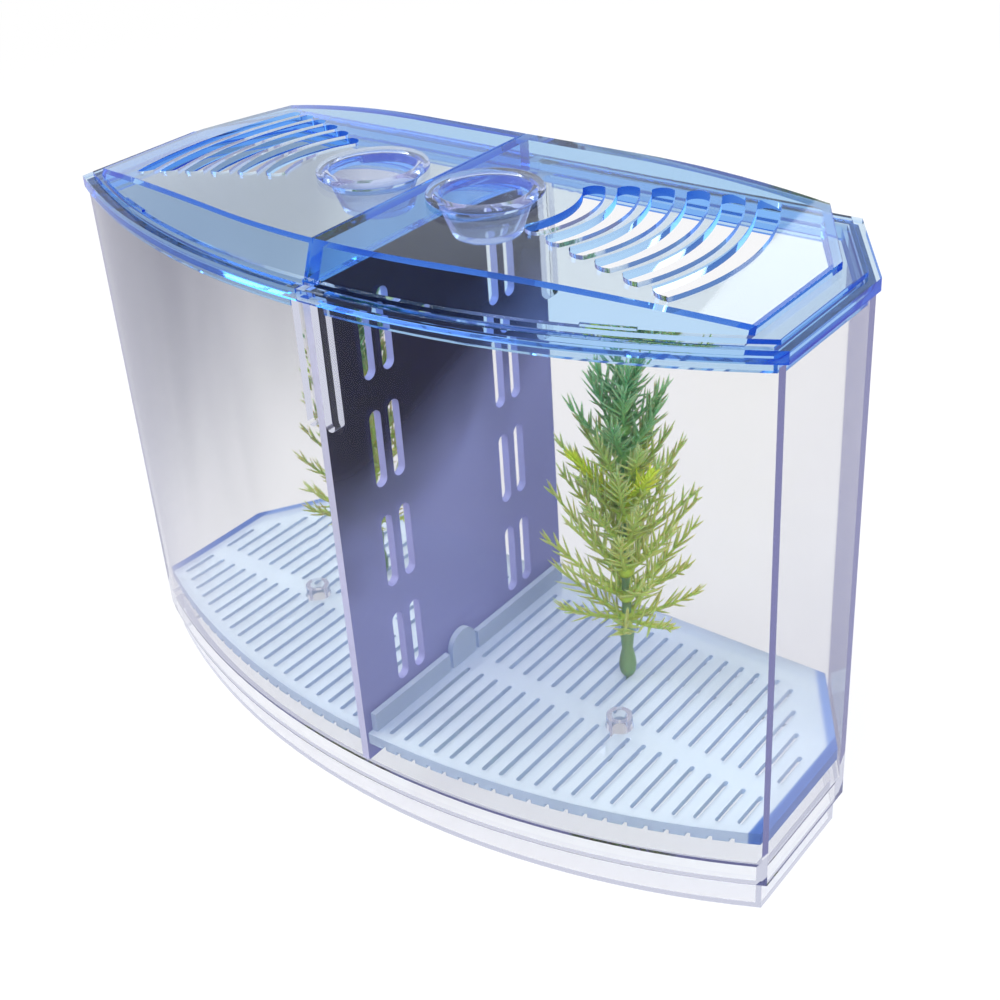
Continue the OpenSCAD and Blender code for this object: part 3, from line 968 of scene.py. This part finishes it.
@dataclass
class FeedingCup:
    """Tapered bowl with a rolled lip and a rounded foot."""

    side: Side
    wall: float = 1.2 * MM
    lip_r: float = 0.7 * MM
    lip_out: float = 1.7 * MM
    lip_in_r: float = 0.5 * MM
    bend_a: float = -20.0
    points: tuple[int, int, int] = (8, 12, 6)
    corner_r: float = 1.1 * MM
    taper: float = 3.2 * MM
    steps: int = 128

    def profile(self, low: float, high: float, radius: float) -> Points:
        """Closed outline of the wall: up the outside, over the lip and down the inside.

        Args:
            low: height of the cup's underside.
            high: height of the lip's top.
            radius: radius of the lip.

        Returns:
            Rows of radius and height, from the axis to the axis.
        """
        neck = radius - self.lip_out
        foot = neck - self.taper
        bend = self.corner_r
        roll = (radius - self.lip_r, high - self.lip_r)
        bend_points, lip_points, edge_points = self.points
        outer = [
            np.array([[0.0, low]]),
            arc((foot - bend, low + bend), bend, -90, self.bend_a, bend_points),
            np.array([[neck, high - 2 * self.lip_r]]),
            arc(roll, self.lip_r, -90, 90, lip_points),
        ]
        inner_top = neck - self.wall
        inner_foot = foot - self.wall
        edge = self.lip_in_r
        inner = [
            arc((inner_top + edge, high - edge), edge, 90, 180, edge_points),
            arc((inner_foot - bend, low + self.wall + bend), bend, self.bend_a, -90, bend_points),
            np.array([[0.0, low + self.wall]]),
        ]
        return np.vstack(outer + inner)

    def build(self) -> None:
        """Turns the bowl about its own axis and hangs it in its lid."""
        node = f"{self.side.word}_feeding_cup"
        lowest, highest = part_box(node)
        centre = np.array([(lowest.x + highest.x) / 2, (lowest.y + highest.y) / 2, 0.0])
        outline = self.profile(lowest.z, highest.z, (highest.x - lowest.x) / 2)
        points = lathe(outline, centre, self.steps)
        quads = ring_quads(len(outline), self.steps)
        piece = surface_object(f"{self.side.word}_cup_bowl", points, quads)
        close_poles(piece)
        piece.data.materials.append(CUP_LAVENDER.material())
        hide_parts(node)
        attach(piece, node)
        LOG.info("%s turned with %d rings", piece.name, len(outline))


@dataclass(frozen=True)
class Whorl:
    """One row of fronds round the stem, in millimetres and degrees."""

    height: float
    length: float
    rise: float
    turn: float
    count: int
    needles: int = 7
    needle: float = 6.4


@dataclass(frozen=True)
class FrondPart:
    """One part of the plant: how its node ends, its finish, its slot, and its rows of fronds."""

    name: str
    look: Finish
    slot: str
    rows: tuple[Whorl, ...]


FROND_PARTS = (
    FrondPart(
        "lower_fronds", LEAF_LOW, "yellow_leaf_plastic",
        (Whorl(17.5, 17, 18, 33, 7), Whorl(24, 19.5, 32, 5, 7), Whorl(31, 20.5, 42, 40, 7)),
    ),
    FrondPart(
        "middle_fronds", LEAF_MIDDLE, "leaf_plastic",
        (Whorl(38.5, 20, 46, 12, 7), Whorl(46, 18.5, 49, 42, 7), Whorl(54, 16, 52, 20, 6)),
    ),
    FrondPart(
        "upper_fronds", LEAF_HIGH, "deep_leaf_plastic",
        (
            Whorl(61.5, 15, 50, 52, 6, needles=6),
            Whorl(68.5, 12.5, 54, 20, 5, needles=6),
            Whorl(75, 8.5, 60, 55, 4, needles=6),
        ),
    ),
    FrondPart(
        "tuft", SHOOT, "shoot_plastic", (Whorl(50, 14, 40, -25, 3, needles=15, needle=5.8),)
    ),
)


@dataclass(frozen=True)
class Rib:
    """Shape of a frond's rib, in millimetres; the rest are shares."""

    radius: float = 0.55
    rings: int = 7
    steps: int = 5
    start: float = 0.4
    curl: float = 0.16
    foot: float = 1.25
    taper: float = 0.95
    tip: float = 0.4


@dataclass(frozen=True)
class Needle:
    """Shape and layout of a rib's needles, in millimetres and degrees; the rest are shares."""

    radius: float = 0.34
    sides: int = 4
    rows: tuple[float, ...] = (2.0, 178.0, 80.0)
    shares: tuple[float, ...] = (0.0, 0.45, 0.8)
    girths: tuple[float, ...] = (1.0, 0.85, 0.5)
    tips: tuple[float, ...] = (0.1, 0.45, 0.8)
    first: float = 0.9
    spare: float = 0.2
    lowest: float = 0.08
    lean: float = 50.0
    lean_foot: float = 1.15
    lean_less: float = 0.75
    least: float = 0.55
    swell: float = 0.45
    swell_way: tuple[float, float] = (0.1, 0.9)
    sag: float = 0.10


@dataclass(frozen=True)
class Scatter:
    """Spread of the random draws: in degrees for turn and rise, else in radians and shares."""

    turn: float = 5.0
    rise: float = 4.0
    length: float = 0.06
    spot: float = 0.018
    facing: float = 0.25
    lean: float = 0.09
    size: float = 0.12


class FrondRow:
    """One row of fronds as whole arrays: curved ribs, and needles that lean towards the tip.

    A rib runs from the stem along P(t) = L t (cos e, sin e) + curl L t^2 upwards, and each
    needle starts at P(t) and points along cos(lean) T + sin(lean) (cos f S + sin f N), where
    T, S and N are the rib's tangent, side and normal.
    """

    rib = Rib()
    needle = Needle()
    scatter = Scatter()

    def __init__(self, row: Whorl, stem_r: float, draw: np.random.Generator) -> None:
        """Draws the ribs' directions and lengths.

        Args:
            row: the row's sizes.
            stem_r: the stem's radius.
            draw: random numbers.
        """
        count = row.count
        spin = draw.normal(0, self.scatter.turn, count)
        turn = np.radians(row.turn + np.arange(count) * 360 / count + spin)
        self.row = row
        self.draw = draw
        self.rise = np.radians(row.rise + draw.normal(0, self.scatter.rise, count))
        self.length = row.length * (1 + draw.normal(0, self.scatter.length, count))
        self.out = np.stack([np.cos(turn), np.sin(turn), np.zeros(count)], axis=-1)
        self.side = np.stack([-np.sin(turn), np.cos(turn), np.zeros(count)], axis=-1)
        middle = np.array([0, 0, row.height])
        self.start = middle + self.rib.start * stem_r * self.out[:, None]

    def along(self, t: Points) -> tuple[Points, Points]:
        """Follows every rib.

        Args:
            t: shares of the ribs' lengths, with one line for each rib.

        Returns:
            Points and tangents there.
        """
        flat, steep = np.cos(self.rise)[:, None], np.sin(self.rise)[:, None]
        reach = self.length[:, None] * t
        lift = reach * steep + self.rib.curl * self.length[:, None] * t**2
        place = self.start + (reach * flat)[..., None] * self.out[:, None] + lift[..., None] * UP
        climb = (steep + 2 * self.rib.curl * t)[..., None] * UP
        way = flat[..., None] * self.out[:, None] + climb
        return place, way / np.linalg.norm(way, axis=-1, keepdims=True)

    def ribs(self) -> Arrays:
        """Sweeps thinning circles along the ribs.

        Returns:
            Points in millimetres, quads, and nearness to the tips.
        """
        rib, count = self.rib, self.row.count
        t = np.tile(np.linspace(0, 1, rib.rings), (count, 1))
        place, way = self.along(t)
        sides = np.repeat(self.side[:, None], rib.rings, axis=1)
        thick = rib.radius * (rib.foot - rib.taper * t)
        ring = circles(rib.steps, sides, np.cross(way, sides))
        points = place[:, :, None] + thick[..., None, None] * ring
        first = (np.arange(count) * rib.rings * rib.steps)[:, None, None]
        quads = first + ring_quads(rib.rings, rib.steps)
        tips = np.repeat((t * rib.tip)[..., None], rib.steps, axis=-1)
        return points.reshape(-1, 3), quads.reshape(-1, 4), tips.ravel()

    def directions(self) -> Arrays:
        """Draws where the needles stand on the ribs, which way they point and how long they are.

        Returns:
            The needles' feet, unit directions and lengths.
        """
        row, needle, scatter, draw = self.row, self.needle, self.scatter, self.draw
        facings = np.radians(needle.rows)
        shape = (row.count, row.needles * len(facings))
        base = (np.arange(row.needles) + needle.first) / (row.needles + needle.spare)
        spot = np.repeat(base, len(facings))[None] + draw.normal(0, scatter.spot, shape)
        spot = np.clip(spot, needle.lowest, 1.0)
        foot, way = self.along(spot)
        side = self.side[:, None]
        normal = np.cross(way, side)
        facing = np.tile(facings, row.needles)[None] + draw.normal(0, scatter.facing, shape)
        ease = needle.lean_foot - needle.lean_less * spot
        lean = np.radians(needle.lean) * ease + draw.normal(0, scatter.lean, shape)
        spread = np.cos(facing)[..., None] * side + np.sin(facing)[..., None] * normal
        point = np.cos(lean)[..., None] * way + np.sin(lean)[..., None] * spread
        low, slope = needle.swell_way
        swell = np.sin(np.pi * np.clip(spot * slope + low, 0, 1))
        size = row.needle * (needle.least + needle.swell * swell)
        return foot, point, size * (1 + draw.normal(0, scatter.size, shape))

    def needles(self) -> Arrays:
        """Raises a sagging, pointed needle at every place drawn for one.

        Returns:
            Points in millimetres, quads, and nearness to the tips.
        """
        needle, sides = self.needle, self.needle.sides
        foot, point, size = self.directions()
        total = size.size
        across = np.cross(point, UP)
        across /= np.linalg.norm(across, axis=-1, keepdims=True) + TINY
        loop = circles(sides, across, np.cross(point, across))
        shares = np.array(needle.shares)
        girth = needle.radius * np.array(needle.girths)
        size = size[..., None]
        centre = foot[..., None, :] + (size * shares)[..., None] * point[..., None, :]
        centre = centre + (needle.sag * size * shares**2)[..., None] * UP
        spike = centre[..., None, :] + girth[:, None, None] * loop[..., None, :, :]
        end = foot + size * point + needle.sag * size * UP
        points = np.concatenate(
            [spike.reshape(total, -1, 3), end.reshape(total, 1, 3)], axis=1
        )
        tip = len(shares) * sides
        last = tip - sides
        cap = np.array([[last + k, last + (k + 1) % sides, tip, tip] for k in range(sides)])
        one = np.vstack([ring_quads(len(shares), sides), cap])
        quads = (np.arange(total) * (tip + 1))[:, None, None] + one
        tips = np.tile(np.append(np.repeat(needle.tips, sides), 1.0), total)
        return points.reshape(-1, 3), quads.reshape(-1, 4), tips


@dataclass
class Plant:
    """Moulded water plant: a stem on a bulb, with rows of needled fronds up to its tip."""

    side: Side
    seed: int
    seed_step: int = 7
    top: float = 85.0
    stem_r: float = 1.1
    stem_taper: float = 0.4
    stem_rows: int = 24
    stem_steps: int = 20
    bulb_h: float = 13.0
    bulb_r: float = 2.3
    bulb_skin: float = 0.6
    pear: tuple[float, float, float] = (0.62, 0.8, 0.35)
    peg_h: float = 2.0
    peg_r: float = 0.45
    bore: float = 0.9
    collar_r: float = 1.9
    collar_rows: tuple[tuple[float, float], ...] = (
        (0.8, -1.5), (1.0, -0.9), (1.0, 0.7), (0.75, 1.5),
    )
    collar_steps: int = 16

    def origin(self) -> Points:
        """Finds the foot of the plant on its grid, as if on the right-hand side.

        Returns:
            The place in millimetres.
        """
        lowest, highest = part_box(f"{self.side.word}_plant_stem")
        return np.array(
            [
                abs(lowest.x + highest.x) / 2 / MM,
                (lowest.y + highest.y) / 2 / MM,
                lowest.z / MM + self.peg_h,
            ]
        )

    def placed(self, points: Points) -> Points:
        """Moves points from the plant's foot to its place, mirrored where it is the left one.

        Args:
            points: points about the plant's foot, in millimetres.

        Returns:
            The points in metres.
        """
        world = (points + self.origin()) * MM
        return world * np.array([self.side.value, 1, 1])

    def finish_piece(self, part: str, arrays: Arrays, look: Finish) -> None:
        """Makes one part of the plant and seats it on the plant's body.

        Args:
            part: the part's name without its side, as the CAD node ends.
            arrays: points about the plant's foot in millimetres, faces, and nearness to the tips.
            look: the part's finish.
        """
        points, quads, tips = arrays
        name = f"{self.side.word}_{part}_mould"
        piece = surface_object(name, self.placed(points), quads, tips)
        close_poles(piece)
        piece.data.materials.append(look.material())
        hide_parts(f"{self.side.word}_plant_{part}")
        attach(piece, f"{self.side.word}_plant")
        LOG.info("%s has %d faces", piece.name, len(piece.data.polygons))

    def stem(self) -> None:
        """Lathe of the stem: a pear-shaped bulb, a slender taper, and a peg below.

        The bulb's radius at share t of its height is R sin(pi t^a)^b (1 - c t), but never less
        than the stem's skin, and the shaft tapers evenly to the top.
        """
        tall = np.linspace(0, 1, self.stem_rows)
        fullness, roundness, slope = self.pear
        pear = self.bulb_r * np.sin(np.pi * tall**fullness) ** roundness * (1 - slope * tall)
        skin = self.stem_r * tall + self.bulb_skin
        bulb = np.column_stack([np.maximum(pear, skin), tall * self.bulb_h])
        shaft_r = self.stem_r * (1 - self.stem_taper * tall[1:])
        shaft = np.column_stack([shaft_r, self.bulb_h + tall[1:] * (self.top - self.bulb_h)])
        peg = np.array([[0.0, -self.peg_h], [self.peg_r, -self.peg_h], [self.peg_r, 0.0]])
        outline = np.vstack([peg, bulb, shaft, [[0.0, self.top]]])
        points = lathe(outline, np.zeros(3), self.stem_steps).reshape(-1, 3)
        arrays = (points, ring_quads(len(outline), self.stem_steps), np.zeros(len(points)))
        self.finish_piece("stem", arrays, STEM_GREEN)

    def collar(self, height: float) -> Arrays:
        """Turns a rounded collar on the stem.

        Args:
            height: height of the collar's middle.

        Returns:
            Points in millimetres, quads, and nearness to the tips, which is nothing here.
        """
        radii, heights = np.array(self.collar_rows).T
        bore = self.stem_r * self.bore
        skin = np.column_stack([self.collar_r * radii, heights])
        outline = np.vstack([[bore, heights[0]], skin, [bore, heights[-1]]])
        outline[:, 1] += height
        points = lathe(outline, np.zeros(3), self.collar_steps).reshape(-1, 3)
        return points, ring_quads(len(outline), self.collar_steps, True), np.zeros(len(points))

    def fronds(self, part: FrondPart) -> None:
        """Builds the rows of fronds that make one part of the plant.

        Args:
            part: the part's name, looks and rows.
        """
        shift = len(part.name) * self.seed_step + int(part.rows[0].height)
        draw = np.random.default_rng(self.seed + shift)
        points, quads, tips = [], [], []
        total = 0
        for row in part.rows:
            fronds = FrondRow(row, self.stem_r, draw)
            for piece in (fronds.ribs(), fronds.needles(), self.collar(row.height)):
                points.append(piece[0])
                quads.append(piece[1] + total)
                tips.append(piece[2])
                total += len(piece[0])
        arrays = (np.vstack(points), np.vstack(quads), np.concatenate(tips))
        self.finish_piece(part.name, arrays, part.look)

    def build(self) -> None:
        """Builds the stem and the four groups of fronds."""
        self.stem()
        for part in FROND_PARTS:
            self.fronds(part)


@dataclass(frozen=True)
class Lamp:
    """A soft square lamp: its place and side in metres, and its power in watts."""

    name: str
    place: Colour
    size: float
    watts: float

    def build(self, aim: Colour) -> None:
        """Adds the lamp.

        Args:
            aim: what it faces, in metres.
        """
        light = bpy.data.lights.new(self.name, "AREA")
        light.size = self.size
        light.energy = self.watts
        way = Vector(aim) - Vector(self.place)
        turn = way.to_track_quat("-Z", "Y").to_matrix().to_4x4()
        add_object(self.name, light).matrix_world = Matrix.Translation(self.place) @ turn


@dataclass
class Studio:
    """Pale floor, white surroundings, soft lamps, and the camera, whose eye is in millimetres."""

    floor_r: float = 9.0
    floor_gap: float = 0.4 * MM
    floor_steps: int = 96
    floor_colour: Colour = (0.93, 0.93, 0.94)
    near: float = 0.15
    far: float = 0.9
    plain: float = 0.72
    ambient: float = 0.62
    sky: Colour = (0.62, 0.64, 0.70)
    sky_span: tuple[float, float] = (0.05, 0.8)
    aim: Colour = (0.0, 0.0, 0.07)
    lamps: tuple[Lamp, ...] = (
        Lamp("key", (-0.55, -0.5, 0.95), 0.6, 9.0),
        Lamp("fill", (0.8, -0.35, 0.6), 0.7, 4.0),
        Lamp("rear", (0.1, 0.8, 0.7), 0.7, 4.0),
    )
    eye: Colour = (203.1, -229.7, 253.0)
    eye_angles: Colour = (41.70, 29.41, -5.09)
    focal: float = 54.52
    sensor: float = 36.0
    shift: tuple[float, float] = (0.0546, -0.0584)

    def background(self) -> None:
        """White world as far as the eye and glass see, and plain soft light for the rest."""
        world = bpy.data.worlds.new("white studio")
        bpy.context.scene.world = world
        nodes = blank(world)
        light = nodes.add("LightPath").outputs
        seen = nodes.math("MAXIMUM", light["Is Camera Ray"], light["Is Transmission Ray"])
        height = nodes.axes(nodes.add("TexCoord").outputs["Generated"])["Z"]
        glossy = nodes.mix(nodes.ramp(height, *self.sky_span), WHITE, self.sky)
        near = nodes.mix(light["Is Glossy Ray"], (self.ambient,) * 3, glossy)
        shine = nodes.add("Background", {"Color": nodes.mix(seen, near, WHITE)})
        nodes.add("OutputWorld", {"Surface": shine.outputs[0]})

    def floor(self) -> None:
        """Round pale floor that keeps a faint shadow and looks white, more so further away."""
        angle = np.linspace(0, 2 * np.pi, self.floor_steps, endpoint=False)
        low = np.full(self.floor_steps, -self.floor_gap)
        rim = np.column_stack([self.floor_r * np.cos(angle), self.floor_r * np.sin(angle), low])
        mesh = bpy.data.meshes.new("pale_floor")
        mesh.from_pydata(rim.tolist(), [], [list(range(self.floor_steps))])
        look = bpy.data.materials.new("pale floor")
        nodes = blank(look)
        body = nodes.add("BsdfDiffuse", {"Color": self.floor_colour})
        glow = nodes.add("Emission", {"Color": WHITE, "Strength": 1.0})
        light = nodes.add("LightPath").outputs
        seen = nodes.math("MAXIMUM", light["Is Camera Ray"], light["Is Glossy Ray"])
        seen = nodes.math("MAXIMUM", seen, light["Is Transmission Ray"])
        away = nodes.add("VectorMath", {0: nodes.place()}, operation="LENGTH").outputs["Value"]
        plain = nodes.ramp(away, self.near, self.far, self.plain)
        share = nodes.math("MULTIPLY", seen, plain)
        both = nodes.blend(share, body.outputs[0], glow.outputs[0])
        nodes.add("OutputMaterial", {"Surface": both})
        mesh.materials.append(look)
        ground = add_object("pale_floor", mesh)

    def camera(self) -> None:
        """Camera of the photograph: its place, direction, roll, lens and shift."""
        place = Vector(self.eye) * MM
        azimuth, elevation, roll = self.eye_angles
        lens = bpy.data.cameras.new("camera")
        lens.lens = self.focal
        lens.sensor_width = self.sensor
        lens.shift_x, lens.shift_y = self.shift
        eye = add_object("camera", lens)
        turn = Euler((math.radians(90 - elevation), 0.0, math.radians(azimuth))).to_matrix()
        tilt = Matrix.Rotation(math.radians(roll), 3, "Z")
        eye.matrix_world = Matrix.Translation(place) @ (turn @ tilt).to_4x4()
        bpy.context.scene.camera = eye

    def build(self) -> None:
        """Sets up the room, the lamps and the camera."""
        self.background()
        self.floor()
        for lamp in self.lamps:
            lamp.build(self.aim)
        self.camera()
        bpy.context.scene.view_settings.view_transform = "Standard"


def main() -> None:
    """Builds the studio, dresses every moulding and adds the cups and plants."""
    logging.basicConfig(level=logging.INFO, format="%(name)s: %(message)s")
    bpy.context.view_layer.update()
    Studio().build()
    MouldedPart("tank", TANK_CLEAR).build()
    MouldedPart("divider", DIVIDER_SMOKE).build()
    for side in Side:
        MouldedPart(f"{side.word}_lid", LID_BLUE).build()
        MouldedPart(f"{side.word}_floor_grid", GRID_ICE).build()
        FeedingCup(side).build()
        Plant(side, seed=11).build()


if __name__ == "__main__":
    main()
